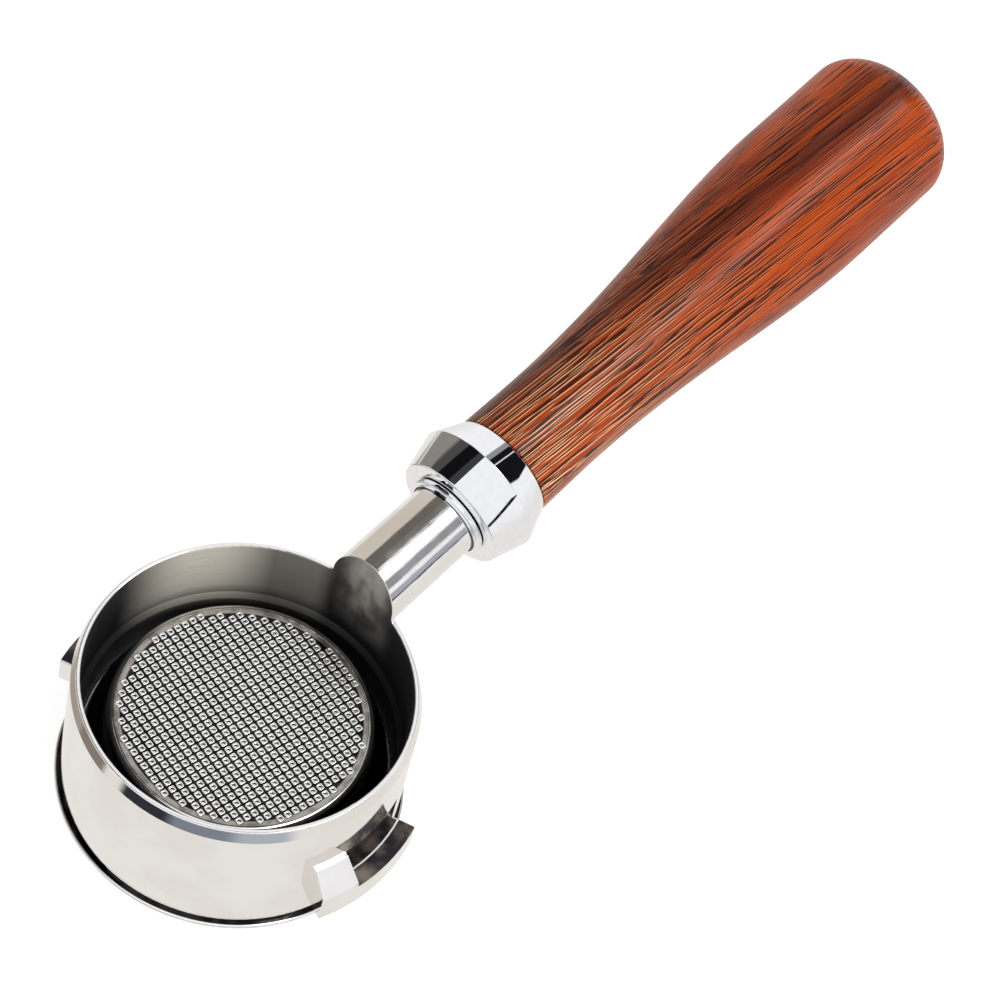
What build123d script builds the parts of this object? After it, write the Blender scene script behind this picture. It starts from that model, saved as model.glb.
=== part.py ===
from build123d import *
from math import cos, hypot, radians, sin
import os

# Bottomless portafilter, standing mouth down, in millimetres.
# Origin: centre of the basket rim's flat face. +Z goes up to the open underside of the ring,
# +X goes out towards the handle. "Station" is the distance along the handle's axis.

os.makedirs("parts", exist_ok=True)

# ---------------------------------------------------------------- driving dimensions

RIM_RADIUS = 35.0            # basket rim, the standard 70 mm of a 58 mm class basket
RIM_THICKNESS = 1.0

RING_RADIUS = 34.0
RING_TOP = 33.6
RING_LIP_RADIUS = 33.1       # where the bevel meets the flat top of the ring
RING_BEVEL_HEIGHT = 2.4
RING_LIP_ROUNDING = 0.3
RING_BEVEL_ROUNDING = 0.6
RING_FOOT_ROUNDING = 0.3
INNER_LIP_ROUNDING = 0.25
CAVITY_RADIUS = 32.2         # open cavity above the basket
BORE_RADIUS = 31.2           # narrower bore that holds the spring
STEP_TOP = 17.6
STEP_BOTTOM = 16.6

SPRING_HEIGHT = 8.0          # height of the spring's wire above the rim plane
SPRING_WIRE_RADIUS = 0.8
SPRING_GAP_ANGLE = 24.0
SPRING_END_ROUNDING = 0.4
SPRING_CLEARANCE = 0.06

BASKET_RADIUS = 30.0
BASKET_DEPTH = 22.3
BASKET_SHEET = 0.6
BASKET_STRAIGHT_DEPTH = 12.0
BASKET_FLOOR_RADIUS = 25.8
BASKET_CORNER_RADIUS = 1.3
PERFORATION_RADIUS = 0.22
PERFORATION_PITCH = 1.775
PERFORATION_ROWS = 29
PERFORATION_FIELD_RADIUS = 24.0
PERFORATION_ANGLE = -10.6    # the rows lie off square to the handle
PERFORATION_SHIFT = (0.30, 0.14)

LUG_RADIUS = 39.0
LUG_BOTTOM = 6.0
LUG_SEAT_TOP = 12.0
LUG_STOP_TOP = 17.4
LUG_STOP_TOP_RADIUS = 34.6
LUG_STOP_SHOULDER = 13.0
LUG_SEAT_ANGLE = 27.0
LUG_STOP_ANGLE = 12.0
LUG_POCKET_DEPTH = 0.7
LUG_POCKET_TOP = 18.6
LUG_RELIEF_RADIUS = 35.2
LUG_RELIEF_DEPTH = 0.4
LUG_ROUNDING = 0.3

HANDLE_TILT = 10.9           # the handle rises by this angle away from the counter
HANDLE_AXIS_HEIGHT = 28.6    # height of the handle's axis where it crosses the ring's axis
NECK_ROOT_RADIUS = 8.1
NECK_END_RADIUS = 7.9
NECK_START = 20.0
NECK_END = 54.9
NECK_ROOT_BLEND = 1.0

SEAT_RING_RADIUS = 9.3
SEAT_RING_END = 56.6
SEAT_RING_ROUNDING = 0.5

FERRULE_FRONT_RADIUS = 12.4
FERRULE_FRONT_CHAMFER = 0.5
FERRULE_CREST_RADIUS = 14.6
FERRULE_CREST = 64.8
FERRULE_END = 71.2
FERRULE_END_RADIUS = 11.9
FERRULE_WEB_END = 60.4       # the web between the front face and the socket for the tenon
TENON_RADIUS = 9.4

STUD_RADIUS = 5.0
STUD_START = 36.0
STUD_END = 86.0
STUD_CHAMFER = 0.8
THREAD_CLEARANCE = 0.02

INSERT_RADIUS = 6.6
INSERT_START = 60.6
INSERT_END = 90.0
INSERT_GROOVE_DEPTH = 0.5
INSERT_GROOVE_WIDTH = 1.2
INSERT_GROOVE_PITCH = 6.5
INSERT_GROOVES = 4

GRIP_START_RADIUS = 11.7
GRIP_WAIST = 84.0
GRIP_WAIST_RADIUS = 11.5
GRIP_MIDDLE = 124.0
GRIP_MIDDLE_RADIUS = 13.95
GRIP_SWELL = 163.0
GRIP_SWELL_RADIUS = 17.25
GRIP_CAP_START = 186.1
GRIP_CAP_LENGTH = 10.9

# ---------------------------------------------------------------- handle frame

tilt_cos = cos(radians(HANDLE_TILT))
tilt_sin = sin(radians(HANDLE_TILT))
# Profile plane of everything turned on the handle's axis: x is the station, y is the radius.
handle_plane = Plane(
    origin=(0, 0, HANDLE_AXIS_HEIGHT),
    x_dir=(tilt_cos, 0, tilt_sin),
    z_dir=(0, -1, 0),
)
handle_axis = Axis((0, 0, HANDLE_AXIS_HEIGHT), (tilt_cos, 0, tilt_sin))


# Shares of an edge's length at which its roundness is tested, and how far it may be off.
EDGE_SAMPLES = (0.1, 0.5, 0.9)
ROUNDNESS_TOLERANCE = 0.02


def axis_distance(point):
    """Distance of a point from the ring's axis."""
    return hypot(point.X, point.Y)


def follows_circle(edge, radius):
    """True if an edge keeps to a circle of this radius about the ring's axis."""
    return all(abs(axis_distance(edge @ share) - radius) < ROUNDNESS_TOLERANCE for share in EDGE_SAMPLES)


def radial_plane(azimuth):
    """Plane through the Z axis: x is the radius at this azimuth, y is the height."""
    a = radians(azimuth)
    return Plane(origin=(0, 0, 0), x_dir=(cos(a), sin(a), 0), z_dir=(sin(a), -cos(a), 0))


# ---------------------------------------------------------------- holder: ring, lugs and neck

ring_bottom = RIM_THICKNESS
groove_radius = BASKET_RADIUS + 2 * SPRING_CLEARANCE + 2 * SPRING_WIRE_RADIUS
groove_half_width = SPRING_WIRE_RADIUS + SPRING_CLEARANCE
lug_root_radius = BORE_RADIUS + 2
thread_radius = STUD_RADIUS + THREAD_CLEARANCE

with BuildPart() as holder_body:
    # Solid blank of the ring, with softened corners.
    with BuildSketch(radial_plane(180)) as ring_section:
        Polygon(
            (0, ring_bottom),
            (RING_RADIUS, ring_bottom),
            (RING_RADIUS, RING_TOP - RING_BEVEL_HEIGHT),
            (RING_LIP_RADIUS, RING_TOP),
            (0, RING_TOP),
            align=None,
        )
        lip_corner, wall_corners = ring_section.vertices().group_by(Axis.X)[1:]
        foot_corner, bevel_corner = wall_corners.sort_by(Axis.Y)
        fillet(lip_corner, RING_LIP_ROUNDING)
        fillet(bevel_corner, RING_BEVEL_ROUNDING)
        fillet(foot_corner, RING_FOOT_ROUNDING)
    revolve(axis=Axis.Z)

    # Round neck, blended into the blank where it leaves the wall.
    with BuildSketch(handle_plane):
        Polygon(
            (NECK_START, 0),
            (NECK_END, 0),
            (NECK_END, NECK_END_RADIUS),
            (NECK_START, NECK_ROOT_RADIUS),
            align=None,
        )
    revolve(axis=handle_axis)
    neck_root = holder_body.edges().filter_by(GeomType.BSPLINE)
    fillet(neck_root.filter_by_position(Axis.X, 0.9 * RING_RADIUS, NECK_END), NECK_ROOT_BLEND)

    # Two bayonet lugs, half a turn apart: a flat seat that ends in a raised stop.
    for side in (-90, 90):
        stop_start = side - (LUG_SEAT_ANGLE + LUG_STOP_ANGLE) / 2
        seat_start = stop_start + LUG_STOP_ANGLE
        with BuildSketch(radial_plane(stop_start)):
            Polygon(
                (lug_root_radius, LUG_BOTTOM),
                (LUG_RADIUS, LUG_BOTTOM),
                (LUG_RADIUS, LUG_STOP_SHOULDER),
                (LUG_STOP_TOP_RADIUS, LUG_STOP_TOP),
                (lug_root_radius, LUG_STOP_TOP),
                align=None,
            )
        revolve(axis=Axis.Z, revolution_arc=LUG_STOP_ANGLE)
        with BuildSketch(radial_plane(seat_start)):
            Polygon(
                (lug_root_radius, LUG_BOTTOM),
                (LUG_RADIUS, LUG_BOTTOM),
                (LUG_RADIUS, LUG_SEAT_TOP),
                (lug_root_radius, LUG_SEAT_TOP),
                align=None,
            )
        revolve(axis=Axis.Z, revolution_arc=LUG_SEAT_ANGLE)
        # Shallow machined pocket in the ring's wall above the seat, with a relief step at its foot.
        with BuildSketch(radial_plane(seat_start)):
            Polygon(
                (RING_RADIUS - LUG_POCKET_DEPTH, LUG_SEAT_TOP - LUG_RELIEF_DEPTH),
                (LUG_RELIEF_RADIUS, LUG_SEAT_TOP - LUG_RELIEF_DEPTH),
                (LUG_RELIEF_RADIUS, LUG_SEAT_TOP),
                (LUG_RADIUS, LUG_SEAT_TOP),
                (LUG_RADIUS, LUG_POCKET_TOP),
                (RING_RADIUS - LUG_POCKET_DEPTH, LUG_POCKET_TOP),
                align=None,
            )
        revolve(axis=Axis.Z, revolution_arc=LUG_SEAT_ANGLE, mode=Mode.SUBTRACT)
    lug_rims = [
        edge
        for edge in holder_body.edges()
        if axis_distance(edge.center()) > (LUG_RELIEF_RADIUS + LUG_RADIUS) / 2 - LUG_ROUNDING
        and edge.center().Z < RING_TOP / 2
    ]
    fillet(lug_rims, LUG_ROUNDING)

    # Bore, spring groove and open cavity, which also trims the neck flush with the wall.
    with BuildSketch(radial_plane(180)):
        Polygon(
            (0, ring_bottom),
            (BORE_RADIUS, ring_bottom),
            (BORE_RADIUS, SPRING_HEIGHT - groove_half_width),
            (groove_radius, SPRING_HEIGHT - groove_half_width),
            (groove_radius, SPRING_HEIGHT + groove_half_width),
            (BORE_RADIUS, SPRING_HEIGHT + groove_half_width),
            (BORE_RADIUS, STEP_BOTTOM),
            (CAVITY_RADIUS, STEP_TOP),
            (CAVITY_RADIUS, 2 * RING_TOP),
            (0, 2 * RING_TOP),
            align=None,
        )
    revolve(axis=Axis.Z, mode=Mode.SUBTRACT)
    inner_lip = [
        edge
        for edge in holder_body.edges()
        if edge.center().Z > RING_TOP - RING_BEVEL_HEIGHT and follows_circle(edge, CAVITY_RADIUS)
    ]
    fillet(inner_lip, INNER_LIP_ROUNDING)

    # Blind threaded hole in the neck's end, for the stud.
    with BuildSketch(handle_plane):
        Polygon(
            (STUD_START - STUD_CHAMFER, 0),
            (NECK_END, 0),
            (NECK_END, thread_radius),
            (STUD_START - STUD_CHAMFER, thread_radius),
            align=None,
        )
    revolve(axis=handle_axis, mode=Mode.SUBTRACT)

holder_body.part.label = "holder_body"
export_step(holder_body.part, "parts/holder_body.step")

# ---------------------------------------------------------------- filter basket

basket_inside = BASKET_RADIUS - BASKET_SHEET
floor_inside = BASKET_DEPTH - BASKET_SHEET

with BuildPart() as filter_basket:
    # Drawn sheet: flat rim, straight wall, tapered foot and floor.
    with BuildSketch(radial_plane(0)) as basket_section:
        Polygon(
            (RIM_RADIUS, 0),
            (RIM_RADIUS, RIM_THICKNESS),
            (BASKET_RADIUS, RIM_THICKNESS),
            (BASKET_RADIUS, BASKET_STRAIGHT_DEPTH),
            (BASKET_FLOOR_RADIUS, BASKET_DEPTH),
            (0, BASKET_DEPTH),
            (0, floor_inside),
            (BASKET_FLOOR_RADIUS - BASKET_SHEET, floor_inside),
            (basket_inside, BASKET_STRAIGHT_DEPTH),
            (basket_inside, 0),
            align=None,
        )
        foot = basket_section.vertices().filter_by_position(
            Axis.X, BASKET_FLOOR_RADIUS - 2 * BASKET_SHEET, BASKET_FLOOR_RADIUS
        )
        fillet(foot.sort_by(Axis.Y)[-1], BASKET_CORNER_RADIUS)
        fillet(foot.sort_by(Axis.Y)[0], BASKET_CORNER_RADIUS - BASKET_SHEET)
    revolve(axis=Axis.Z)

    # Round holes on a square grid, kept inside a circle.
    grid = GridLocations(
        PERFORATION_PITCH, PERFORATION_PITCH, PERFORATION_ROWS, PERFORATION_ROWS
    )
    holes = [
        spot.position + Vector(PERFORATION_SHIFT)
        for spot in grid
        if (spot.position + Vector(PERFORATION_SHIFT)).length < PERFORATION_FIELD_RADIUS
    ]
    with BuildSketch(Plane.XY.offset(floor_inside).rotated((0, 0, PERFORATION_ANGLE))):
        with Locations(holes):
            Circle(PERFORATION_RADIUS)
    extrude(amount=BASKET_SHEET, mode=Mode.SUBTRACT)

filter_basket.part.label = "filter_basket"
export_step(filter_basket.part, "parts/filter_basket.step")

# ---------------------------------------------------------------- retaining spring

spring_centre_radius = BASKET_RADIUS + SPRING_CLEARANCE + SPRING_WIRE_RADIUS

with BuildPart() as retaining_spring:
    # Open wire ring whose gap faces away from the handle.
    with BuildSketch(radial_plane(180 + SPRING_GAP_ANGLE / 2)):
        with Locations((spring_centre_radius, SPRING_HEIGHT)):
            Circle(SPRING_WIRE_RADIUS)
    revolve(axis=Axis.Z, revolution_arc=360 - SPRING_GAP_ANGLE)
    fillet(retaining_spring.edges().filter_by(GeomType.CIRCLE), SPRING_END_ROUNDING)

retaining_spring.part.label = "retaining_spring"
export_step(retaining_spring.part, "parts/retaining_spring.step")

# ---------------------------------------------------------------- seat ring

with BuildPart() as seat_ring:
    with BuildSketch(handle_plane) as seat_section:
        Polygon(
            (NECK_END, thread_radius),
            (NECK_END, SEAT_RING_RADIUS),
            (SEAT_RING_END, SEAT_RING_RADIUS),
            (SEAT_RING_END, thread_radius),
            align=None,
        )
        rim = seat_section.vertices().group_by(Axis.X)[0].sort_by(Axis.Y)[-1:]
        fillet(rim, SEAT_RING_ROUNDING)
    revolve(axis=handle_axis)

seat_ring.part.label = "seat_ring"
export_step(seat_ring.part, "parts/seat_ring.step")

# ---------------------------------------------------------------- ferrule

with BuildPart() as ferrule:
    # Two cones that meet in a crest, with a socket for the grip's tenon.
    with BuildSketch(handle_plane):
        Polygon(
            (SEAT_RING_END, thread_radius),
            (SEAT_RING_END, FERRULE_FRONT_RADIUS - FERRULE_FRONT_CHAMFER),
            (SEAT_RING_END + FERRULE_FRONT_CHAMFER, FERRULE_FRONT_RADIUS),
            (FERRULE_CREST, FERRULE_CREST_RADIUS),
            (FERRULE_END, FERRULE_END_RADIUS),
            (FERRULE_END, TENON_RADIUS),
            (FERRULE_WEB_END, TENON_RADIUS),
            (FERRULE_WEB_END, thread_radius),
            align=None,
        )
    revolve(axis=handle_axis)

ferrule.part.label = "ferrule"
export_step(ferrule.part, "parts/ferrule.step")

# ---------------------------------------------------------------- stud

with BuildPart() as handle_stud:
    # Plain rod at the thread's outside diameter, with chamfered ends.
    with BuildSketch(handle_plane):
        Polygon(
            (STUD_START, 0),
            (STUD_START, STUD_RADIUS - STUD_CHAMFER),
            (STUD_START + STUD_CHAMFER, STUD_RADIUS),
            (STUD_END - STUD_CHAMFER, STUD_RADIUS),
            (STUD_END, STUD_RADIUS - STUD_CHAMFER),
            (STUD_END, 0),
            align=None,
        )
    revolve(axis=handle_axis)

handle_stud.part.label = "handle_stud"
export_step(handle_stud.part, "parts/handle_stud.step")

# ---------------------------------------------------------------- threaded insert

with BuildPart() as handle_insert:
    # Blind bush let into the grip, threaded for the stud.
    with BuildSketch(handle_plane):
        Polygon(
            (INSERT_START, thread_radius),
            (INSERT_START, INSERT_RADIUS),
            (INSERT_END, INSERT_RADIUS),
            (INSERT_END, 0),
            (STUD_END + THREAD_CLEARANCE, 0),
            (STUD_END + THREAD_CLEARANCE, thread_radius),
            align=None,
        )
    revolve(axis=handle_axis)
    # Rings turned into the outside, so that the glue holds it in the wood.
    for number in range(1, INSERT_GROOVES + 1):
        station = INSERT_START + number * INSERT_GROOVE_PITCH
        with BuildSketch(handle_plane):
            Polygon(
                (station, INSERT_RADIUS - INSERT_GROOVE_DEPTH),
                (station, INSERT_RADIUS),
                (station + INSERT_GROOVE_WIDTH, INSERT_RADIUS),
                (station + INSERT_GROOVE_WIDTH, INSERT_RADIUS - INSERT_GROOVE_DEPTH),
                align=None,
            )
        revolve(axis=handle_axis, mode=Mode.SUBTRACT)

handle_insert.part.label = "handle_insert"
export_step(handle_insert.part, "parts/handle_insert.step")

# ---------------------------------------------------------------- wooden grip

with BuildPart() as grip:
    with BuildSketch(handle_plane):
        with BuildLine():
            swell = Spline(
                (FERRULE_END, GRIP_START_RADIUS),
                (GRIP_WAIST, GRIP_WAIST_RADIUS),
                (GRIP_MIDDLE, GRIP_MIDDLE_RADIUS),
                (GRIP_SWELL, GRIP_SWELL_RADIUS),
                tangents=((1, 0), (1, 0)),
            )
            barrel = Line(swell @ 1, (GRIP_CAP_START, GRIP_SWELL_RADIUS))
            cap = EllipticalCenterArc(
                (GRIP_CAP_START, 0),
                GRIP_CAP_LENGTH,
                GRIP_SWELL_RADIUS,
                start_angle=0,
                arc_size=90,
            )
            Polyline(
                (GRIP_CAP_START + GRIP_CAP_LENGTH, 0),
                (INSERT_END + THREAD_CLEARANCE, 0),
                (INSERT_END + THREAD_CLEARANCE, INSERT_RADIUS),
                (INSERT_START, INSERT_RADIUS),
                (INSERT_START, TENON_RADIUS),
                (FERRULE_END, TENON_RADIUS),
                (FERRULE_END, GRIP_START_RADIUS),
            )
        make_face()
    revolve(axis=handle_axis)

grip.part.label = "grip"
export_step(grip.part, "parts/grip.step")
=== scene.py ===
import math

import bmesh
import bpy
import numpy as np
from mathutils import Matrix, Vector


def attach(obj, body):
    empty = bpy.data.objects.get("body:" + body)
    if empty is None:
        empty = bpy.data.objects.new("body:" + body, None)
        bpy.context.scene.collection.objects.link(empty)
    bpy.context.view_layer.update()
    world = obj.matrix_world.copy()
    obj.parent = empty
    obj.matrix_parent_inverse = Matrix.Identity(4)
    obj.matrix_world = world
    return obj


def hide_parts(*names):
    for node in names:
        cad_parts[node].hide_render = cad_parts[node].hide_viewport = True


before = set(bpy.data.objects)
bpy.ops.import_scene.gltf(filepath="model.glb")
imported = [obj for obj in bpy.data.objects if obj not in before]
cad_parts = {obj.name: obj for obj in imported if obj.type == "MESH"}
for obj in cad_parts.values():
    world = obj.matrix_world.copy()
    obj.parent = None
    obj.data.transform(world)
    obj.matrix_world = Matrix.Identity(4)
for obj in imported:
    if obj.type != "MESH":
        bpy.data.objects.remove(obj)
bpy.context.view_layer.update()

# A bottomless portafilter, standing mouth down on a pale floor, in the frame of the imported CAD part.
# "Station" is the distance along the handle's axis. Lengths below are in millimetres.

MM = 0.001
MERGE_DISTANCE = 0.002 * MM

# ---------------------------------------------------------------- driving dimensions

HANDLE_TILT = math.radians(10.9)
HANDLE_AXIS_HEIGHT = 28.6
THREAD_HOLE_RADIUS = 5.02

RING_RADIUS = 34.0
CAVITY_RADIUS = 32.2
RIM_RADIUS = 35.0
RIM_THICKNESS = 1.0
BASKET_RADIUS = 30.0
BASKET_DEPTH = 22.3
BASKET_SHEET = 0.6
BASKET_STRAIGHT_DEPTH = 12.0
BASKET_FLOOR_RADIUS = 25.8
BASKET_CORNER_RADIUS = 1.3

PERFORATION_RADIUS = 0.25
PERFORATION_PITCH = 1.775
PERFORATION_ROWS = 29
PERFORATION_FIELD_RADIUS = 24.0
PERFORATION_ANGLE = math.radians(-10.6)
PERFORATION_SHIFT = (0.30, 0.14)
PAD_HEIGHT = 0.16
PAD_HALF_SIDE = 0.83
FIELD_EDGE_RADIUS = 24.75

LUG_SEAT_MIDDLE = math.radians(-84.0)
LUG_SEAT_HALF_ANGLE = math.radians(13.5)
LUG_POCKET_RADIUS = 33.3
LUG_RELIEF_RADIUS = 35.2
LUG_RELIEF_DEPTH = 0.4
LUG_SEAT_TOP = 12.0
LUG_POCKET_TOP = 18.6

SPRING_CENTRE_RADIUS = 30.86
SPRING_WIRE_RADIUS = 0.8
SPRING_HEIGHT = 8.0
SPRING_GAP = math.radians(24.0)

NECK_END = 54.9
SEAT_RING_END = 56.6
SEAT_RING_RADIUS = 9.3
FERRULE_FRONT_RADIUS = 12.4
FERRULE_CREST = 64.8
FERRULE_CREST_RADIUS = 14.6
FERRULE_END = 71.2
FERRULE_END_RADIUS = 11.9
FERRULE_WEB_END = 60.4
SHADOW_GAP_WIDTH = 0.4
SHADOW_GAP_DEPTH = 1.0
SEAT_RING_GAP = 0.2
TENON_RADIUS = 9.4
INSERT_START = 60.6
INSERT_END = 90.02
INSERT_RADIUS = 6.6

GRIP_START_RADIUS = 11.7
GRIP_KNOTS = ((FERRULE_END, GRIP_START_RADIUS), (84.0, 11.5), (124.0, 13.95), (163.0, 17.25))
GRIP_CAP_START = 186.1
GRIP_CAP_LENGTH = 10.9

# How finely each turned piece is divided round its axis.
BASKET_SEGMENTS = 480
SEAT_RING_SEGMENTS = 256
FERRULE_SEGMENTS = 384
GRIP_SEGMENTS = 360
FLOOR_SEGMENTS = 96

FLOOR_RADIUS = 1500
FLOOR_DROP = 0.05

# Camera: where it looks from, and the lens.
CAMERA_AZIMUTH = math.radians(-60.28)
CAMERA_ELEVATION = math.radians(52.83)
CAMERA_ROLL = math.radians(16.26)
CAMERA_AIM = Vector((64.86, -5.02, 40.82)) * MM
CAMERA_DISTANCE = 698.56 * MM
CAMERA_LENS = 125.87
CAMERA_SENSOR = 36

handle_axis = Vector((math.cos(HANDLE_TILT), 0, math.sin(HANDLE_TILT)))
handle_origin = Vector((0, 0, HANDLE_AXIS_HEIGHT)) * MM

# Both matrices turn a profile's own x axis into the axis that it is turned about.
ALONG_RING = Matrix.Rotation(-math.pi / 2, 4, "Y")
ALONG_HANDLE = Matrix.Translation(handle_origin) @ Matrix.Rotation(-HANDLE_TILT, 4, "Y")


def camera_axes():
    """Right, up and back directions of the camera before it is rolled."""
    back = Vector(
        (
            math.sin(CAMERA_AZIMUTH) * math.cos(CAMERA_ELEVATION),
            -math.cos(CAMERA_AZIMUTH) * math.cos(CAMERA_ELEVATION),
            math.sin(CAMERA_ELEVATION),
        )
    )
    right = Vector((0, 0, 1)).cross(back).normalized()
    return right, back.cross(right), back


# ---------------------------------------------------------------- mesh helpers


def rounded_outline(corners, steps=8):
    """Points of an open outline. A corner is (x, y) if sharp, or (x, y, radius) if rounded by an arc."""
    points = []
    for i, corner in enumerate(corners):
        here = Vector(corner[:2])
        radius = corner[2] if len(corner) > 2 else 0
        if not radius:
            points.append(here)
            continue
        before = (Vector(corners[i - 1][:2]) - here).normalized()
        after = (Vector(corners[i + 1][:2]) - here).normalized()
        half_angle = before.angle(after) / 2
        centre = here + (before + after).normalized() * radius / math.sin(half_angle)
        start = here + before * radius / math.tan(half_angle) - centre
        end = here + after * radius / math.tan(half_angle) - centre
        turn = math.atan2(start.cross(end), start.dot(end))
        for step in range(steps + 1):
            points.append(centre + Matrix.Rotation(turn * step / steps, 2) @ start)
    return points


def bridge(bm, rings):
    """Joins each closed ring of points to the next one with a band of faces."""
    for ring, following in zip(rings, rings[1:]):
        for k in range(len(ring)):
            after = (k + 1) % len(ring)
            bm.faces.new((ring[k], ring[after], following[after], following[k]))


def lathe(bm, outline, placement, segments):
    """Adds the surface that an outline of (distance along the axis, radius) points makes when turned."""
    rings = []
    for x, radius in outline:
        ring = []
        for k in range(segments):
            angle = 2 * math.pi * k / segments
            point = Vector((x, radius * math.cos(angle), radius * math.sin(angle))) * MM
            ring.append(bm.verts.new(placement @ point))
        rings.append(ring)
    bridge(bm, rings)


def finish_piece(bm, name, body, material, sharp_angle=math.radians(38), node=None):
    """Turns a bmesh into a smooth shaded piece that rides on a CAD body and stands for a CAD node."""
    bmesh.ops.remove_doubles(bm, verts=bm.verts, dist=MERGE_DISTANCE)
    bmesh.ops.recalc_face_normals(bm, faces=bm.faces)
    mesh = bpy.data.meshes.new(name)
    bm.to_mesh(mesh)
    bm.free()
    mesh.shade_smooth()
    mesh.set_sharp_from_angle(angle=sharp_angle)
    mesh.materials.append(material)
    piece = bpy.data.objects.new(name, mesh)
    bpy.context.scene.collection.objects.link(piece)
    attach(piece, body)
    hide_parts(node)
    return piece


def turned_piece(name, corners, placement, segments, body, material, node):
    """A solid of revolution with a closed outline."""
    outline = rounded_outline(corners)
    bm = bmesh.new()
    lathe(bm, outline + outline[:1], placement, segments)
    return finish_piece(bm, name, body, material, node=node)


# ---------------------------------------------------------------- node helpers


class Nodes:
    """Short calls that build a node tree. A value can be a number, a tuple or another node's output."""

    def __init__(self, tree):
        self.tree = tree
        tree.nodes.clear()

    def add(self, kind, values=None, **settings):
        node = self.tree.nodes.new(kind)
        for name, setting in settings.items():
            setattr(node, name, setting)
        for socket, value in (values or {}).items():
            self.feed(node.inputs[socket], value)
        return node

    def feed(self, socket, value):
        if isinstance(value, bpy.types.NodeSocket):
            self.tree.links.new(value, socket)
        else:
            socket.default_value = value

    def math(self, operation, a, b=0.0):
        return self.add("ShaderNodeMath", {0: a, 1: b}, operation=operation).outputs[0]

    def wrap(self, value, low, high):
        return self.add("ShaderNodeMath", {0: value, 1: high, 2: low}, operation="WRAP").outputs[0]

    def span(self, value, low, high, to_low=0.0, to_high=1.0):
        """Goes smoothly from to_low at low to to_high at high."""
        values = {"Value": value, "From Min": low, "From Max": high, "To Min": to_low, "To Max": to_high}
        return self.add("ShaderNodeMapRange", values, interpolation_type="SMOOTHSTEP").outputs[0]

    def mix(self, share, a, b):
        """Goes from colour a to colour b."""
        return self.add("ShaderNodeMix", {0: share, 6: a, 7: b}, data_type="RGBA").outputs[2]

    def blend(self, share, a, b):
        """Goes from number a to number b."""
        return self.add("ShaderNodeMix", {0: share, 2: a, 3: b}).outputs[0]

    def noise(self, vector, scale, detail=2.0, roughness=0.5):
        values = {"Vector": vector, "Scale": scale, "Detail": detail, "Roughness": roughness}
        return self.add("ShaderNodeTexNoise", values).outputs["Fac"]

    def scaled(self, vector, scale):
        return self.add("ShaderNodeVectorMath", {0: vector, 1: scale}, operation="MULTIPLY").outputs[0]

    def along(self, vector, direction):
        """How far a vector reaches along a direction."""
        node = self.add("ShaderNodeVectorMath", {0: vector, 1: tuple(direction)}, operation="DOT_PRODUCT")
        return node.outputs["Value"]

    def combine(self, x, y, z):
        return self.add("ShaderNodeCombineXYZ", {0: x, 1: y, 2: z}).outputs[0]

    def position(self):
        """Place in the object's own frame, in millimetres."""
        place = self.add("ShaderNodeTexCoord").outputs["Object"]
        return self.scaled(place, (1 / MM, 1 / MM, 1 / MM))

    def bump(self, height, strength, distance, normal=None):
        values = {"Height": height, "Strength": strength, "Distance": distance * MM}
        if normal is not None:
            values["Normal"] = normal
        return self.add("ShaderNodeBump", values).outputs[0]

    def surface(self, **inputs):
        """Principled surface; input names use _ for a space."""
        values = {name.replace("_", " "): value for name, value in inputs.items()}
        shader = self.add("ShaderNodeBsdfPrincipled", values)
        self.add("ShaderNodeOutputMaterial", {"Surface": shader.outputs[0]})


def new_material(name):
    material = bpy.data.materials.new(name)
    material.use_nodes = True
    return material, Nodes(material.node_tree)


# ---------------------------------------------------------------- materials


def ring_radius(n, place):
    """Distance from the ring's axis, in millimetres."""
    flat = n.scaled(place, (1, 1, 0))
    return n.add("ShaderNodeVectorMath", {0: flat}, operation="LENGTH").outputs["Value"]


def from_handle_origin(n, place):
    """Place as seen from the point where the handle's axis crosses the ring's axis."""
    origin = tuple(handle_origin / MM)
    return n.add("ShaderNodeVectorMath", {0: place, 1: origin}, operation="SUBTRACT").outputs[0]


def handle_cylindrical(n, place):
    """Station along the handle's axis and distance from it, in millimetres."""
    offset = from_handle_origin(n, place)
    sideways = n.add("ShaderNodeVectorMath", {0: offset, 1: tuple(handle_axis)}, operation="CROSS_PRODUCT")
    length = n.add("ShaderNodeVectorMath", {0: sideways.outputs[0]}, operation="LENGTH")
    return n.along(offset, handle_axis), length.outputs["Value"]


def ring_strokes(n, place, across, along_share):
    """Noise in fine lines that run round the ring: across lines per millimetre of radius and height."""
    parts = n.add("ShaderNodeSeparateXYZ", {0: place})
    turn = n.math("ARCTAN2", parts.outputs["Y"], parts.outputs["X"])
    lines = n.combine(
        n.math("MULTIPLY", ring_radius(n, place), across),
        n.math("MULTIPLY", turn, along_share),
        n.math("MULTIPLY", parts.outputs["Z"], across),
    )
    return n.noise(lines, 1.0, detail=3.0, roughness=0.6)


def near(n, value, middle, half_width, softness):
    """One where a value is within half_width of the middle, falling to zero over the softness."""
    offset = n.math("ABSOLUTE", n.math("SUBTRACT", value, middle))
    return n.span(offset, half_width + softness, half_width)


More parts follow.
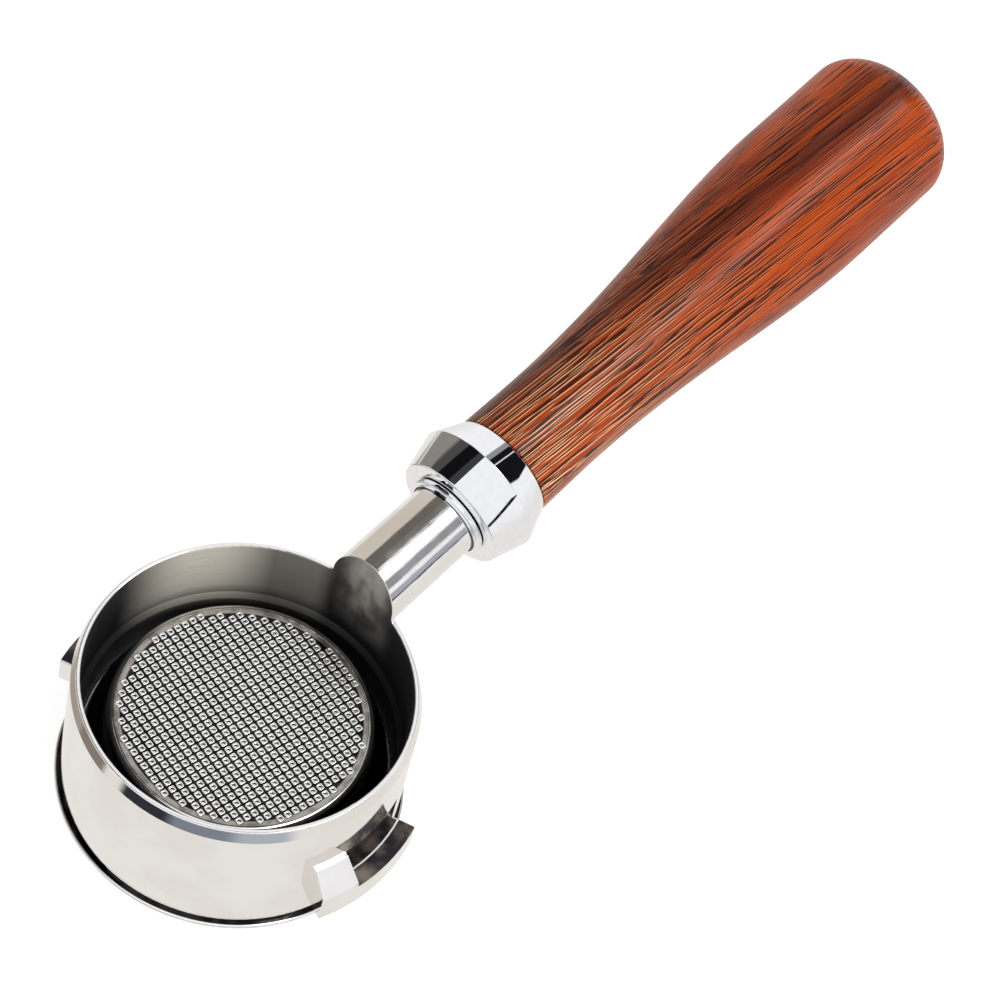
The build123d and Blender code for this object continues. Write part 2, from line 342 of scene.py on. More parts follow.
def inside_light(n, place, turn, height):
    """How much painted light the inside of the ring gets in its colour: most of it is opposite the open
    front.
    """
    far_wall = near(n, turn, math.radians(61), math.radians(3), math.radians(33))
    beside_lobe = near(n, turn, math.radians(27), math.radians(7), math.radians(9))
    far_wall = n.math("MAXIMUM", far_wall, n.math("MULTIPLY", beside_lobe, 0.24))
    far_wall = n.math("MULTIPLY", far_wall, n.span(height, 14.0, 21.5))
    handle_side = near(n, turn, math.radians(-2), math.radians(3), math.radians(14))
    handle_side = n.math("MULTIPLY", handle_side, n.span(height, 18.0, 33.0))
    cloud = n.noise(n.scaled(place, (1.0, 0.8, -0.5)), 0.22, detail=2.0)
    handle_side = n.math("MULTIPLY", handle_side, n.span(cloud, 0.35, 0.65, 0.12, 0.50))
    return n.math("MAXIMUM", far_wall, handle_side)


def lug_recess(n, radius, turn, height):
    """One on the seat of each lug and in the pocket above it, where a dark reflection is painted, and one
    on the bright line between them, where a highlight is painted.
    """
    both_lugs = n.math("PINGPONG", n.math("SUBTRACT", turn, LUG_SEAT_MIDDLE), math.pi / 2)
    in_turn = n.span(both_lugs, LUG_SEAT_HALF_ANGLE, LUG_SEAT_HALF_ANGLE - 0.012)
    outward = n.span(radius, LUG_POCKET_RADIUS - 0.25, LUG_POCKET_RADIUS - 0.1)
    sunk = n.math("MULTIPLY", n.span(radius, LUG_RELIEF_RADIUS + 0.1, LUG_RELIEF_RADIUS), LUG_RELIEF_DEPTH)
    over_floor = n.span(n.math("ADD", height, sunk), LUG_SEAT_TOP - 0.25, LUG_SEAT_TOP - 0.1)
    above_seat = n.math("MULTIPLY", over_floor, n.span(height, LUG_POCKET_TOP, LUG_POCKET_TOP - 0.1))
    recess = n.math("MULTIPLY", n.math("MULTIPLY", in_turn, outward), above_seat)
    step_edge = near(n, radius, LUG_RELIEF_RADIUS + 0.15, 0.15, 0.08)
    seam = n.math("MULTIPLY", step_edge, n.span(height, LUG_SEAT_TOP + 0.4, LUG_SEAT_TOP + 0.3))
    return recess, n.math("MULTIPLY", recess, seam)


def polished_steel():
    """Bright steel outside; inside, a satin finish with turning marks under painted light and shade, and
    unpolished lug seats painted dark as a painted reflection, with a painted highlight on their step edge.
    """
    material, n = new_material("polished_steel")
    place = n.position()
    parts = n.add("ShaderNodeSeparateXYZ", {0: place})
    height = parts.outputs["Z"]
    turn = n.math("ARCTAN2", parts.outputs["Y"], parts.outputs["X"])
    radius = ring_radius(n, place)
    patches = n.noise(place, 0.07, detail=3.0)
    smudges = n.noise(n.scaled(place, (0.5, 0.5, 0.8)), 0.45, detail=4.0)
    strokes = ring_strokes(n, place, 9.0, 5.0)

    outside_tint = n.mix(n.span(patches, 0.40, 0.66), (0.845, 0.825, 0.805, 1), (0.895, 0.885, 0.875, 1))
    neck = n.span(parts.outputs["X"], RING_RADIUS, RING_RADIUS + 3.0)
    outside_rough = n.span(smudges, 0.35, 0.75, 0.045, 0.10)
    neck_rough = n.span(smudges, 0.35, 0.70, 0.085, 0.15)
    outside_rough = n.blend(neck, outside_rough, neck_rough)

    inside = n.span(radius, CAVITY_RADIUS + 0.22, CAVITY_RADIUS + 0.04)
    light = inside_light(n, place, turn, height)
    satin = n.mix(n.span(strokes, 0.3, 0.7), (0.82, 0.765, 0.65, 1), (0.96, 0.91, 0.79, 1))
    # Painted light and shade: the inside is near black, and satin only where inside_light paints light.
    inside_tint = n.mix(light, (0.014, 0.014, 0.015, 1), satin)

    recess, seam = lug_recess(n, radius, turn, height)
    # Painted dark reflection on the lug seats, and a painted highlight along the step edge between seat and
    # pocket.
    painted_seat_reflection = n.mix(n.span(smudges, 0.35, 0.65), (0.030, 0.027, 0.032, 1), (0.15, 0.125, 0.105, 1))
    painted_seat_reflection = n.mix(seam, painted_seat_reflection, (0.95, 0.93, 0.92, 1))
    tint = n.mix(recess, n.mix(inside, outside_tint, inside_tint), painted_seat_reflection)
    rough = n.blend(inside, outside_rough, n.span(smudges, 0.3, 0.7, 0.34, 0.44))
    # Share that is not metallic: most of the inside, and the step edge, so that its painted highlight reads
    # as matt white.
    matt_share = n.math("MAXIMUM", n.math("MULTIPLY", inside, 0.95), seam)

    waves = n.bump(n.noise(place, 0.16, detail=1.0), 0.25, 0.05)
    ripples = n.noise(n.scaled(place, (0.25, 1, 1)), 0.7)
    neck_waves = n.bump(ripples, n.math("MULTIPLY", neck, 0.5), 0.05, waves)
    marks = n.bump(strokes, n.math("MULTIPLY", inside, 0.30), 0.02, neck_waves)
    n.surface(
        Base_Color=tint,
        Metallic=n.math("SUBTRACT", 1.0, matt_share),
        Roughness=n.blend(recess, rough, 0.34),
        Normal=marks,
    )
    return material


def satin_steel():
    """Pressed sheet steel: bright pads, painted shade in the grooves and on the upper outside wall, and a
    painted shadow line on the rim.
    """
    material, n = new_material("satin_steel")
    place = n.position()
    height = n.add("ShaderNodeSeparateXYZ", {0: place}).outputs["Z"]
    radius = ring_radius(n, place)
    in_field = n.span(radius, FIELD_EDGE_RADIUS + 0.12, FIELD_EDGE_RADIUS - 0.05)
    # Painted shade in the grooves between the pads, lighter at the field's border.
    low = n.span(height, BASKET_DEPTH - 0.05, BASKET_DEPTH - 0.10)
    groove = n.math("MULTIPLY", in_field, low)
    field_border = n.math("MULTIPLY", groove, n.span(radius, 23.7, 24.3))
    groove = n.math("SUBTRACT", groove, field_border)
    below_floor = n.span(height, BASKET_DEPTH - 0.65, BASKET_DEPTH - 1.25)
    # Painted shade on the outside wall, from about 12 mm up to just under the floor, for the dark gap
    # between basket and ring.
    shaded_wall = n.math("MULTIPLY", below_floor, n.span(height, 9.5, 12.0))
    foot_shadow = n.math("MULTIPLY", near(n, radius, RING_RADIUS + 0.2, 0.36, 0.08), below_floor)
    dark = n.math("MAXIMUM", groove, foot_shadow)

    cloud = n.noise(place, 0.35, detail=4.0)
    grain = n.noise(place, 5.0, detail=2.0)
    metal = n.mix(n.span(cloud, 0.35, 0.65), (0.86, 0.86, 0.85, 1), (0.94, 0.94, 0.93, 1))
    # Brown-grey on the plain ring round the field, and in the grooves at the field's border, where it
    # stands in for a lighter painted shade.
    plain_ring = n.math("MULTIPLY", near(n, radius, 25.05, 0.18, 0.12), n.span(height, 22.0, 22.1))
    brown_grey = n.mix(n.span(cloud, 0.35, 0.6), (0.20, 0.18, 0.155, 1), (0.40, 0.37, 0.33, 1))
    metal = n.mix(n.math("MAXIMUM", plain_ring, field_border), metal, brown_grey)
    # Painted shade, near black, for the grooves and for the shadow line on the rim.
    painted_shade = n.mix(n.span(cloud, 0.4, 0.6), (0.012, 0.011, 0.010, 1), (0.030, 0.028, 0.025, 1))
    # Dark brown-grey painted shade for that wall.
    wall_shade = n.mix(n.span(cloud, 0.35, 0.65), (0.045, 0.040, 0.034, 1), (0.085, 0.076, 0.065, 1))
    metal = n.mix(shaded_wall, metal, wall_shade)
    n.surface(
        Base_Color=n.mix(dark, metal, painted_shade),
        Metallic=1.0,
        Roughness=n.blend(in_field, n.span(cloud, 0.3, 0.7, 0.09, 0.15), 0.17),
        Normal=n.bump(grain, 0.25, 0.01),
    )
    return material


def chrome():
    """Mirror plating with the faintest haze and polishing waves, and painted shade in the gap by the seat
    ring.
    """
    material, n = new_material("chrome_trim")
    place = n.position()
    haze = n.noise(place, 0.6, detail=3.0)
    tint = n.mix(n.span(haze, 0.4, 0.7), (0.90, 0.905, 0.92, 1), (0.86, 0.87, 0.89, 1))
    station, axis_radius = handle_cylindrical(n, place)
    # Painted shade, near black, deep in the gaps on both sides of the seat ring.
    by_seat_ring = near(n, station, (NECK_END + SEAT_RING_END) / 2, 1.0, 0.05)
    neck_side_shade = SEAT_RING_RADIUS - 0.95
    ferrule_side_shade = SEAT_RING_RADIUS - 0.15
    shade_radius = n.span(station, NECK_END + 0.7, NECK_END + 0.8, neck_side_shade, ferrule_side_shade)
    in_gap = n.span(n.math("SUBTRACT", axis_radius, shade_radius), 0.0, -0.12)
    gap_shade = n.math("MULTIPLY", by_seat_ring, in_gap)
    n.surface(
        Base_Color=n.mix(gap_shade, tint, (0.012, 0.012, 0.014, 1)),
        Metallic=1.0,
        Roughness=n.span(haze, 0.35, 0.75, 0.015, 0.05),
        Normal=n.bump(n.noise(place, 0.25, detail=1.0), 0.15, 0.03),
    )
    return material


def spring_steel():
    """Drawn grey steel with fine marks."""
    material, n = new_material("spring_steel")
    place = n.position()
    marks = n.noise(place, 3.0, detail=4.0)
    n.surface(
        Base_Color=n.mix(marks, (0.42, 0.42, 0.43, 1), (0.62, 0.62, 0.62, 1)),
        Metallic=1.0,
        Roughness=n.span(marks, 0.3, 0.7, 0.22, 0.36),
        Normal=n.bump(marks, 0.2, 0.02),
    )
    return material


def brass():
    """Machined brass, slightly darkened in patches."""
    material, n = new_material("brass")
    place = n.position()
    station = n.along(place, handle_axis)
    turned = n.noise(n.combine(n.math("MULTIPLY", station, 12.0), 0.0, 0.0), 1.0, detail=2.0)
    patches = n.noise(place, 0.4, detail=3.0)
    n.surface(
        Base_Color=n.mix(n.span(patches, 0.4, 0.65), (0.80, 0.58, 0.24, 1), (0.58, 0.40, 0.16, 1)),
        Metallic=1.0,
        Roughness=n.span(turned, 0.3, 0.7, 0.2, 0.34),
        Normal=n.bump(turned, 0.3, 0.02),
    )
    return material


def grain_axes():
    """Directions along the grain, across it and into it. The grain runs a few degrees off the handle."""
    back = camera_axes()[2]
    into = (back - handle_axis * back.dot(handle_axis)).normalized()
    slant = Matrix.Rotation(math.radians(-3.6), 3, into)
    along = slant @ handle_axis
    return along, into.cross(along).normalized(), into


# Dark streaks of heartwood: place across the grain, half width, softness, strength.
HEART_STREAKS = ((15.8, 0.7, 1.6, 0.85), (15.8, 1.5, 4.5, 0.5), (20.6, 0.6, 1.8, 0.45))
PORE_LINES_PER_MM = 3.3
# How far across the grain the painted highlight beside each pore line sits, in millimetres.
PORE_HIGHLIGHT_SHIFT = 0.25
# Apart from the lines on the faces, by enough that the two don't match where they meet.
SIDE_FACE_SHIFT = 40.0


def lacquered_wood():
    """Red hardwood with dark heart streaks and open pores with a painted highlight beside them, under a
    thick clear lacquer.
    """
    material, n = new_material("lacquered_wood")
    place = n.position()
    along_grain, across_grain, into_grain = grain_axes()
    place = from_handle_origin(n, place)
    length = n.along(place, along_grain)
    width = n.along(place, across_grain)
    depth = n.along(place, into_grain)

    def stretched(length_share, width_share, depth_share):
        return n.combine(
            n.math("MULTIPLY", length, length_share),
            n.math("MULTIPLY", width, width_share),
            n.math("MULTIPLY", depth, depth_share),
        )

    wander = n.noise(stretched(0.012, 0.05, 0.05), 1.0, detail=2.0)
    sway = n.math("MULTIPLY", n.math("SUBTRACT", wander, 0.5), 3.0)
    width_swayed = n.math("ADD", width, sway)
    bands = n.noise(stretched(0.010, 0.34, 0.16), 1.0, detail=4.0, roughness=0.62)
    fine = n.noise(stretched(0.022, 1.5, 0.5), 1.0, detail=3.0, roughness=0.6)

    handle_across = into_grain.cross(handle_axis)
    sideways = n.along(place, handle_across)
    towards = n.along(place, into_grain)
    from_axis = n.math("SQRT", n.math("ADD", n.math("POWER", sideways, 2.0), n.math("POWER", towards, 2.0)))
    side_face = n.span(n.math("DIVIDE", n.math("ABSOLUTE", sideways), from_axis), 0.84, 0.91)

    def face_lines(across, deeper, shift):
        """Noise in fine lines along the grain, for a face that looks in the deeper direction."""
        lines = n.combine(
            n.math("MULTIPLY", length, 0.055),
            n.math("MULTIPLY", n.math("ADD", across, shift), PORE_LINES_PER_MM),
            n.math("MULTIPLY", deeper, 0.40),
        )
        return n.noise(lines, 1.0, detail=2.0)

    def pore_lines(shift):
        """Fine lines that are as dense on the sides as on the top; shift moves them across the grain."""
        on_top = face_lines(width, depth, shift)
        on_sides = face_lines(depth, width, shift + SIDE_FACE_SHIFT)
        return n.blend(side_face, on_top, on_sides)

    def streak(middle, half_width, softness, strength):
        """A dark streak of heartwood that runs along the grain at this place across it."""
        return n.math("MULTIPLY", near(n, width_swayed, middle, half_width, softness), strength)

    # The pores are densest by the ferrule and thin out towards the rounded end.
    pore_level = n.span(length, 75.0, 190.0, 0.495, 0.555)
    pores = n.math("SUBTRACT", pore_lines(0.0), pore_level)
    beside = n.math("SUBTRACT", pore_lines(PORE_HIGHLIGHT_SHIFT), pore_level)
    end_grain = n.span(n.along(place, handle_axis), GRIP_CAP_START + 5.5, GRIP_CAP_START + 9.0)
    pore_ends = n.span(n.noise(place, 2.6, detail=1.0), 0.58, 0.68, 0.0, 0.7)
    pore_mask = n.blend(end_grain, n.span(pores, 0.0, 0.03), pore_ends)
    # Painted highlight: a pale line beside each pore, as if the lacquer's edge caught the light.
    pore_highlight = n.math("MULTIPLY", n.span(beside, 0.0, 0.045), n.math("SUBTRACT", 1.0, pore_mask))
    pore_highlight = n.math("MULTIPLY", pore_highlight, n.math("SUBTRACT", 1.0, end_grain))

    warm = n.mix(n.span(length, 90.0, 195.0), (0.51, 0.082, 0.014, 1), (0.55, 0.074, 0.001, 1))
    wood = n.mix(n.span(bands, 0.36, 0.66), warm, (0.32, 0.040, 0.005, 1))
    wood = n.mix(n.span(fine, 0.50, 0.74, 0.0, 0.55), wood, (0.21, 0.024, 0.007, 1))
    heart = streak(*HEART_STREAKS[0])
    for further_streak in HEART_STREAKS[1:]:
        heart = n.math("MAXIMUM", heart, streak(*further_streak))
    heart = n.math("MULTIPLY", heart, n.span(fine, 0.2, 0.6, 0.75, 1.0))
    wood = n.mix(heart, wood, (0.055, 0.009, 0.005, 1))
    pore_highlight_strength = n.span(length, 75.0, 140.0, 0.95, 0.14)
    pore_highlight_strength = n.math("MULTIPLY", pore_highlight_strength, n.math("SUBTRACT", 1.0, heart))
    # Painted highlight beside the pores, strongest by the ferrule and kept out of the heart streaks.
    wood = n.mix(n.math("MULTIPLY", pore_highlight, pore_highlight_strength), wood, (0.95, 0.50, 0.26, 1))
    wood = n.mix(n.math("MULTIPLY", pore_mask, 0.92), wood, (0.028, 0.004, 0.002, 1))

    relief = n.math("SUBTRACT", 1.0, pore_mask)
    n.surface(
        Base_Color=wood,
        Roughness=n.span(fine, 0.3, 0.7, 0.38, 0.52),
        Specular_IOR_Level=0.06,
        Normal=n.bump(relief, 0.7, 0.05),
        Coat_Weight=0.40,
        Coat_Roughness=0.15,
        Coat_IOR=1.38,
        Coat_Normal=n.bump(relief, 0.4, 0.04),
    )
    return material


def pale_floor():
    """Matt white with a trace of tone, bright enough to keep the shadow soft."""
    material, n = new_material("pale_floor")
    place = n.position()
    tone = n.mix(n.noise(place, 0.004, detail=2.0), (0.60, 0.60, 0.60, 1), (0.62, 0.62, 0.615, 1))
    matt = n.add("ShaderNodeBsdfDiffuse", {"Color": tone})
    glow = n.add("ShaderNodeEmission", {"Color": (1, 1, 1, 1), "Strength": 0.66})
    both = n.add("ShaderNodeAddShader", {0: matt.outputs[0], 1: glow.outputs[0]})
    n.add("ShaderNodeOutputMaterial", {"Surface": both.outputs[0]})
    return material


# ---------------------------------------------------------------- filter basket


# Exponents of the pad's outline: a square with soft corners, and a circle.
SOFT_SQUARE = 6.0
CIRCLE = 2.0


def pad_ring(half_side, height, corners=SOFT_SQUARE, points=24):
    """Points round a soft square or a circle."""
    ring = []
    for k in range(points):
        angle = 2 * math.pi * k / points
        c, s = math.cos(angle), math.sin(angle)
        reach = half_side / (abs(c) ** corners + abs(s) ** corners) ** (1 / corners)
        ring.append(Vector((reach * c, reach * s, height)))
    return ring


def cell_ring(height, points=24):
    """Points round one square cell of the grid, which the next cell shares."""
    ring = []
    for k in range(points):
        angle = 2 * math.pi * k / points
        c, s = math.cos(angle), math.sin(angle)
        reach = PERFORATION_PITCH / 2 / max(abs(c), abs(s))
        ring.append(Vector((reach * c, reach * s, height)))
    return ring


def perforation_centres():
    """Centres of the holes, in the turned grid's own frame."""
    middle = (PERFORATION_ROWS - 1) / 2
    for i in range(PERFORATION_ROWS):
        for j in range(PERFORATION_ROWS):
            x = (i - middle) * PERFORATION_PITCH + PERFORATION_SHIFT[0]
            y = (j - middle) * PERFORATION_PITCH + PERFORATION_SHIFT[1]
            if math.hypot(x, y) < PERFORATION_FIELD_RADIUS:
                yield Vector((x, y, 0))


def add_perforated_field(bm):
    """Square cells with a raised pad round a hole, on a sheet that is closed above and below."""
    top = BASKET_DEPTH
    plain = top - PAD_HEIGHT
    under = top - BASKET_SHEET
    # The pad's flank, as how far it stands in from the half side and its height, and then the hole,
    # as how much wider than its radius it is and its height.
    flank = ((0.10, plain), (0.12, plain + 0.55 * PAD_HEIGHT), (0.15, top - 0.02), (0.22, top))
    hole = ((0.09, top), (0.03, top - 0.06), (0.0, top - 0.14), (0.0, under))
    rings = [cell_ring(plain)]
    rings += [pad_ring(PAD_HALF_SIDE - inset, height) for inset, height in flank]
    rings += [pad_ring(PERFORATION_RADIUS + wider, height, CIRCLE) for wider, height in hole]
    rings.append(cell_ring(under))
    turn = Matrix.Rotation(PERFORATION_ANGLE, 4, "Z")
    for centre in perforation_centres():
        made = [[bm.verts.new(turn @ (centre + p) * MM) for p in ring] for ring in rings]
        bridge(bm, made)
    bmesh.ops.remove_doubles(bm, verts=bm.verts, dist=MERGE_DISTANCE)


def fill_border(bm, height):
    """Fills between the stepped edge of the field and the round edge of the sheet at this height."""
    edges = [
        e
        for e in bm.edges
        if e.is_boundary and all(abs(v.co.z - height * MM) < 0.003 * MM for v in e.verts)
    ]
    bmesh.ops.triangle_fill(bm, use_beauty=True, edges=edges, normal=(0, 0, 1))


def filter_basket(material):
    top = BASKET_DEPTH
    inside = BASKET_RADIUS - BASKET_SHEET
    under = top - BASKET_SHEET
    # The outline runs from the outside of the floor, down round the rim and up the inside.
    outline = rounded_outline(
        [
            (top - PAD_HEIGHT, FIELD_EDGE_RADIUS),
            (top, FIELD_EDGE_RADIUS + 0.09, 0.05),
            (top, BASKET_FLOOR_RADIUS, BASKET_CORNER_RADIUS),
            (BASKET_STRAIGHT_DEPTH, BASKET_RADIUS, 2.0),
            (RIM_THICKNESS, BASKET_RADIUS, 0.4),
            (RIM_THICKNESS, RIM_RADIUS, 0.42),
            (0, RIM_RADIUS, 0.42),
            (0, inside, 0.5),
            (BASKET_STRAIGHT_DEPTH, inside, 2.0),
            (under, BASKET_FLOOR_RADIUS - BASKET_SHEET, 0.7),
            (under, FIELD_EDGE_RADIUS - 0.4),
        ]
    )
    bm = bmesh.new()
    add_perforated_field(bm)
    lathe(bm, outline, ALONG_RING, BASKET_SEGMENTS)
    fill_border(bm, top - PAD_HEIGHT)
    fill_border(bm, under)
    return finish_piece(
        bm, "basket_shell", "basket", material, math.radians(50), node="filter_basket"
    )


# ---------------------------------------------------------------- retaining spring


def retaining_spring(material):
    """Open wire ring with rounded ends."""
    bends = 300
    around = 20
    rounding = 0.4
    sweep = 2 * math.pi - SPRING_GAP
    bm = bmesh.new()
    sections = []
    for i in range(bends + 1):
        sections.append((math.pi + SPRING_GAP / 2 + sweep * i / bends, SPRING_WIRE_RADIUS))
    # Each end tapers through a quarter circle to a small flat.
    for end, side in ((0, -1), (-1, 1)):
        angle = sections[end][0]
        arc = []
        for step in range(1, 6):
            slope = math.pi / 2 * step / 5
            reach = rounding * math.sin(slope) / SPRING_CENTRE_RADIUS
            end_angle = angle + side * (reach - rounding / SPRING_CENTRE_RADIUS)
            arc.append((end_angle, SPRING_WIRE_RADIUS - rounding * (1 - math.cos(slope))))
        sections = arc[::-1] + sections[1:] if side < 0 else sections[:-1] + arc
    rings = []
    for angle, wire in sections:
        out = Vector((math.cos(angle), math.sin(angle), 0))
        ring = []
        for k in range(around):
            turn = 2 * math.pi * k / around
            radius = SPRING_CENTRE_RADIUS + wire * math.cos(turn)
            height = Vector((0, 0, SPRING_HEIGHT + wire * math.sin(turn)))
            ring.append(bm.verts.new((out * radius + height) * MM))
        rings.append(ring)
    bridge(bm, rings)
    bm.faces.new(rings[0])
    bm.faces.new(rings[-1])
    return finish_piece(bm, "spring_wire", "spring", material, node="retaining_spring")


# ---------------------------------------------------------------- handle


def seat_ring(material):
    gap = SEAT_RING_GAP
    inner = SEAT_RING_RADIUS - 0.9
    corners = [
        (NECK_END, THREAD_HOLE_RADIUS),
        (NECK_END, inner),
        (NECK_END + gap, inner),
        (NECK_END + gap, SEAT_RING_RADIUS, 0.35),
        (SEAT_RING_END - gap, SEAT_RING_RADIUS, 0.3),
        (SEAT_RING_END - gap, inner),
        (SEAT_RING_END, inner),
        (SEAT_RING_END, THREAD_HOLE_RADIUS),
    ]
    return turned_piece(
        "seat_washer",
        corners,
        ALONG_HANDLE,
        SEAT_RING_SEGMENTS,
        body="holder",
        material=material,
        node="seat_ring",
    )


def ferrule(material):
    corners = [
        (SEAT_RING_END, THREAD_HOLE_RADIUS),
        (SEAT_RING_END, FERRULE_FRONT_RADIUS, 0.35),
        (FERRULE_CREST, FERRULE_CREST_RADIUS, 0.3),
        (FERRULE_END, FERRULE_END_RADIUS, 0.25),
        (FERRULE_END, TENON_RADIUS),
        (FERRULE_WEB_END, TENON_RADIUS),
        (FERRULE_WEB_END, THREAD_HOLE_RADIUS),
    ]
    return turned_piece(
        "ferrule_shell",
        corners,
        ALONG_HANDLE,
        FERRULE_SEGMENTS,
        body="holder",
        material=material,
        node="ferrule",
    )


def knot_slopes(knots):
    """Slopes of the smooth curve through the knots that starts and ends level."""
    x, y = np.array(knots, float).T
    gap = np.diff(x)
    rise = np.diff(y) / gap
    system = np.eye(len(x))
    right = np.zeros(len(x))
    for i in range(1, len(x) - 1):
        system[i, i - 1:i + 2] = gap[i], 2 * (gap[i - 1] + gap[i]), gap[i - 1]
        right[i] = 3 * (gap[i] * rise[i - 1] + gap[i - 1] * rise[i])
    return np.linalg.solve(system, right)


def grip_curve(steps_per_span=60):
    """Outside of the turned wood between the ferrule and the straight barrel."""
    slopes = knot_slopes(GRIP_KNOTS)
    points = []
    for i, ((x0, y0), (x1, y1)) in enumerate(zip(GRIP_KNOTS, GRIP_KNOTS[1:])):
        span = x1 - x0
        for step in range(steps_per_span):
            t = step / steps_per_span
            radius = (
                y0 * (1 + 2 * t) * (1 - t) ** 2
                + y1 * t * t * (3 - 2 * t)
                + slopes[i] * span * t * (1 - t) ** 2
                - slopes[i + 1] * span * t * t * (1 - t)
            )
            points.append((x0 + span * t, radius))
    return points


def grip(material):
    """Turned wood with a rounded end, a tenon and a blind bore for the insert."""
    swell_end, swell_radius = GRIP_KNOTS[-1]
    barrel = [
        (swell_end + (GRIP_CAP_START - swell_end) * k / 24, swell_radius) for k in range(24)
    ]
    cap = [
        (
            GRIP_CAP_START + GRIP_CAP_LENGTH * math.sin(math.pi / 2 * k / 40),
            swell_radius * math.cos(math.pi / 2 * k / 40),
        )
        for k in range(41)
    ]
    gap_end = FERRULE_END + SHADOW_GAP_WIDTH
    shadow_gap = [
        (FERRULE_END, GRIP_START_RADIUS - SHADOW_GAP_DEPTH),
        (gap_end, GRIP_START_RADIUS - SHADOW_GAP_DEPTH),
        (gap_end, GRIP_START_RADIUS - 0.2),
        (gap_end + 0.08, GRIP_START_RADIUS - 0.05),
    ]
    bore = [
        (INSERT_END, 0),
        (INSERT_END, INSERT_RADIUS),
        (INSERT_START, INSERT_RADIUS),
        (INSERT_START, TENON_RADIUS),
        (FERRULE_END, TENON_RADIUS),
    ]
    start_curve = [point for point in grip_curve() if point[0] > gap_end + 0.15]
    outline = shadow_gap + start_curve + barrel + cap
    bm = bmesh.new()
    lathe(bm, outline, ALONG_HANDLE, GRIP_SEGMENTS)
    lathe(bm, bore + shadow_gap[:1], ALONG_HANDLE, GRIP_SEGMENTS)
    return finish_piece(bm, "wooden_grip", "holder", material, node="grip")


# ---------------------------------------------------------------- studio


def add_camera():
    right, up, back = camera_axes()
    roll = Matrix.Rotation(CAMERA_ROLL, 3, back)
    data = bpy.data.cameras.new("camera")
    data.lens = CAMERA_LENS
    data.sensor_width = CAMERA_SENSOR
    data.clip_end = 50
    camera = bpy.data.objects.new("camera", data)
    bpy.context.scene.collection.objects.link(camera)
    placed = Matrix((roll @ right, roll @ up, back)).transposed().to_4x4()
    placed.translation = CAMERA_AIM + back * CAMERA_DISTANCE
    camera.matrix_world = placed
    bpy.context.scene.camera = camera


# Soft boxes and flags round the part, each as azimuth range, elevation range, edge softness
# (all in degrees) and the light that it sends, as red, green and blue.
STUDIO_CARDS = {
    "overhead box": ((-95, -20), (54, 90), 8, (1.04, 1.14, 1.12)),
    "strip light in the box": ((-95, -30), (61, 71), 5, (6.0, 6.0, 6.0)),
    "canopy beside the handle": ((52, 86), (42, 68), 7, (0.15, 0.14, 0.12)),
    "canopy over the handle": ((6, 62), (68, 81), 4, (0.17, 0.16, 0.14)),
    "dark seam overhead": ((-25, 12), (76, 79), 1.0, (0.01, 0.01, 0.01)),
    "beige wall": ((60, 80), (-12, 40), 6, (0.66, 0.60, 0.54)),
    "taupe wall": ((81, 96), (-12, 34), 5, (0.27, 0.25, 0.23)),
    "grey strip on the left": ((-75, -64), (29, 48), 4, (0.30, 0.31, 0.33)),
    "lilac strip on the left": ((-75, -64), (-1, 12), 4, (0.42, 0.42, 0.49)),
    "black strip on the left": ((-75, -64), (-6, -3), 1.2, (0.02, 0.02, 0.02)),
    "grey flag behind": ((98, 107), (18, 62), 4, (0.075, 0.07, 0.065)),
    "black flag behind": ((107, 128), (22, 72), 1.5, (0.006, 0.006, 0.008)),
    "charcoal flag behind": ((128, 149), (34, 76), 2, (0.045, 0.047, 0.05)),
    "black flag beyond the handle": ((-26, 8), (17, 43), 1.5, (0.008, 0.008, 0.01)),
    "slit in the flag": ((-3, -1.8), (17, 43), 0.5, (0.75, 0.75, 0.78)),
    "grey edge of the flag": ((8, 14), (17, 43), 1.5, (0.30, 0.30, 0.31)),
    "thin bar in front": ((-99.8, -98.2), (-6, 22), 0.35, (0.012, 0.012, 0.014)),
    "dark gap at the back": ((163, 197), (-29, -8), 6, (0.03, 0.034, 0.04)),
    "blue grey backdrop": ((-166, -130), (-28, -12), 9, (0.22, 0.25, 0.30)),
    "pale end of the backdrop": ((-130, -112), (-28, -12), 12, (0.46, 0.49, 0.54)),
    "beige low wall": ((78, 124), (-38, -21), 6, (0.40, 0.35, 0.30)),
    "taupe gap": ((124, 144), (-34, -17), 5, (0.26, 0.22, 0.19)),
}
SKY = (0.97, 0.97, 0.99, 1)
GROUND = (0.87, 0.845, 0.81, 1)


def card_mask(n, azimuth, elevation, azimuth_range, elevation_range, softness):
    """One inside a card, and zero outside it."""
    mask = None
    for value, (low, high), turns in ((azimuth, azimuth_range, True), (elevation, elevation_range, False)):
        middle = math.radians((low + high) / 2)
        half = math.radians((high - low) / 2)
        soft = math.radians(softness)
        offset = n.math("SUBTRACT", value, middle)
        if turns:
            offset = n.wrap(offset, -math.pi, math.pi)
        side = n.span(n.math("ABSOLUTE", offset), half + soft, half)
        mask = side if mask is None else n.math("MULTIPLY", mask, side)
    return mask


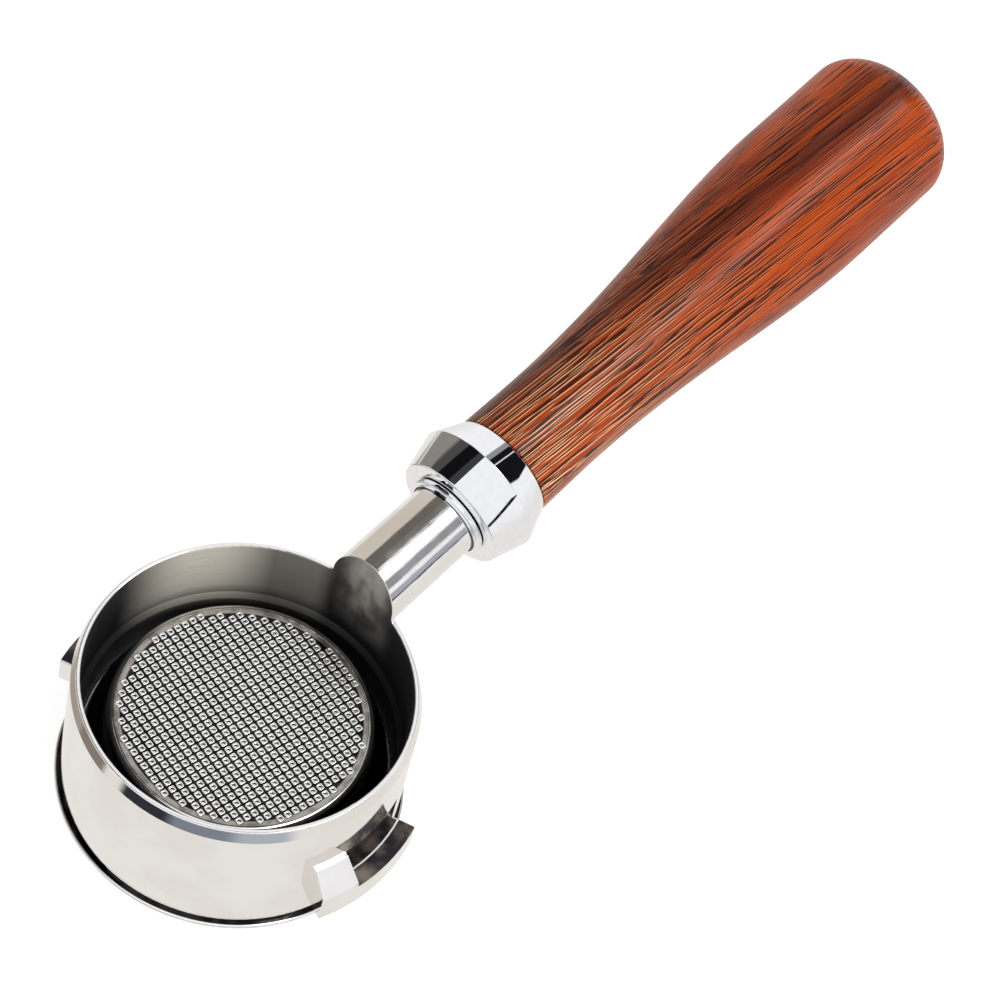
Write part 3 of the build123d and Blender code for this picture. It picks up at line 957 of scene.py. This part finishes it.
def add_studio_light():
    """White tent with cards and flags, seen by reflections. The camera sees plain white."""
    world = bpy.data.worlds.new("studio")
    world.use_nodes = True
    bpy.context.scene.world = world
    n = Nodes(world.node_tree)
    direction = n.add("ShaderNodeTexCoord").outputs["Generated"]
    parts = n.add("ShaderNodeSeparateXYZ", {0: direction})
    azimuth = n.math("ARCTAN2", parts.outputs["Y"], parts.outputs["X"])
    elevation = n.math("ARCSINE", parts.outputs["Z"])
    colour = n.mix(n.span(elevation, math.radians(-25), math.radians(5)), GROUND, SKY)
    for azimuth_range, elevation_range, softness, light in STUDIO_CARDS.values():
        mask = card_mask(n, azimuth, elevation, azimuth_range, elevation_range, softness)
        colour = n.mix(mask, colour, (*light, 1))
    seen = n.add("ShaderNodeLightPath").outputs["Is Camera Ray"]
    colour = n.mix(seen, colour, (1, 1, 1, 1))
    background = n.add("ShaderNodeBackground", {"Color": colour, "Strength": 1.0})
    n.add("ShaderNodeOutputWorld", {"Surface": background.outputs[0]})


def add_floor():
    """Large round floor under the rim. It goes with the basket, so that the basket can slide out."""
    bm = bmesh.new()
    outline = [(-FLOOR_DROP, 0), (-FLOOR_DROP, FLOOR_RADIUS / 5), (-FLOOR_DROP, FLOOR_RADIUS)]
    lathe(bm, outline, ALONG_RING, FLOOR_SEGMENTS)
    bmesh.ops.remove_doubles(bm, verts=bm.verts, dist=MERGE_DISTANCE)
    bmesh.ops.recalc_face_normals(bm, faces=bm.faces)
    mesh = bpy.data.meshes.new("floor")
    bm.to_mesh(mesh)
    bm.free()
    mesh.materials.append(pale_floor())
    floor = bpy.data.objects.new("floor", mesh)
    bpy.context.scene.collection.objects.link(floor)
    floor.visible_glossy = False
    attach(floor, "basket")


# ---------------------------------------------------------------- assembly


def dress_cad_node(name, material):
    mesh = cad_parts[name].data
    mesh.materials.clear()
    mesh.materials.append(material)


spring_finish = spring_steel()
chrome_finish = chrome()
dress_cad_node("holder_body", polished_steel())
dress_cad_node("handle_stud", spring_finish)
dress_cad_node("handle_insert", brass())
filter_basket(satin_steel())
retaining_spring(spring_finish)
seat_ring(chrome_finish)
ferrule(chrome_finish)
grip(lacquered_wood())
add_floor()
add_studio_light()
add_camera()
bpy.context.scene.view_settings.view_transform = "Standard"
